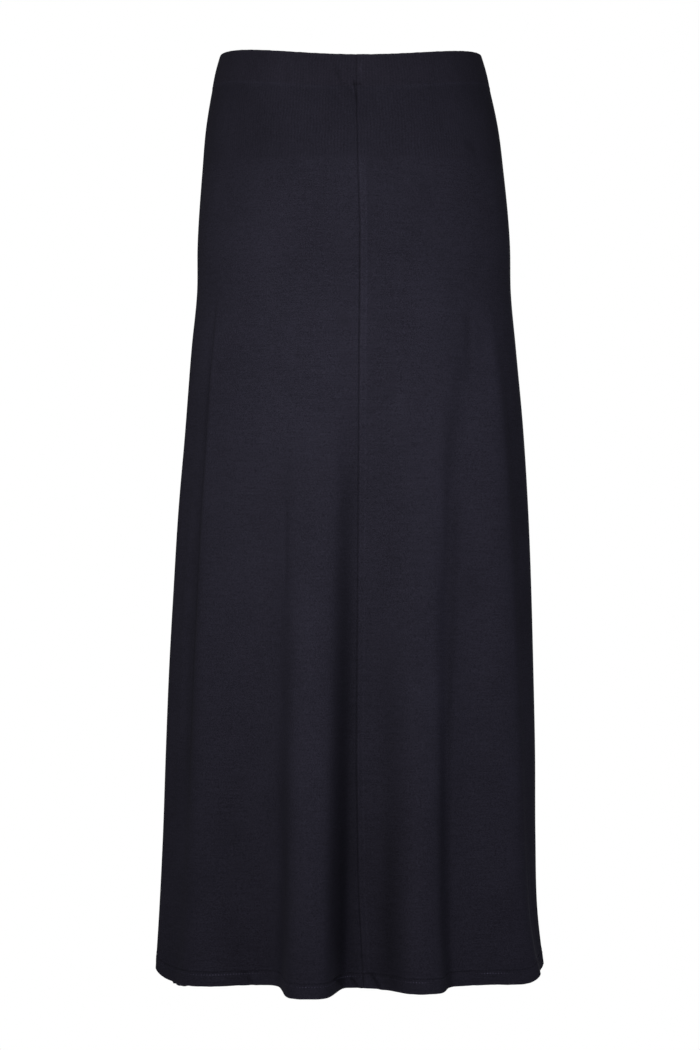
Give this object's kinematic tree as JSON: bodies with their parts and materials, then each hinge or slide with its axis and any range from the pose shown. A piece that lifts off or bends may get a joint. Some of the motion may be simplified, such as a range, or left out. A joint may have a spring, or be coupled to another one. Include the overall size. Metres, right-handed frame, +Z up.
{
  "type": "maxi skirt",
  "caption": "Long plain A-line jersey skirt in its worn shape, with an elastic waistband, a centre front seam, soft folds that deepen towards the hem and a turned-up hem.",
  "frame": {"origin": "centre of the waist opening, at half the height of the waistband at the side seams, where a waist holds the skirt", "axes": "+Z up, -Y out of the front, +X towards the wearer's left side"},
  "size_m": [0.4062, 0.3086, 0.9686],
  "materials": {
    "jersey": "matte navy jersey",
    "band_jersey": "matte navy jersey over elastic"
  },
  "bodies": {
    "root": {"waistband": "band_jersey", "front_right_panel": "jersey", "front_left_panel": "jersey", "back_panel": "jersey"}
  },
  "joints": []
}
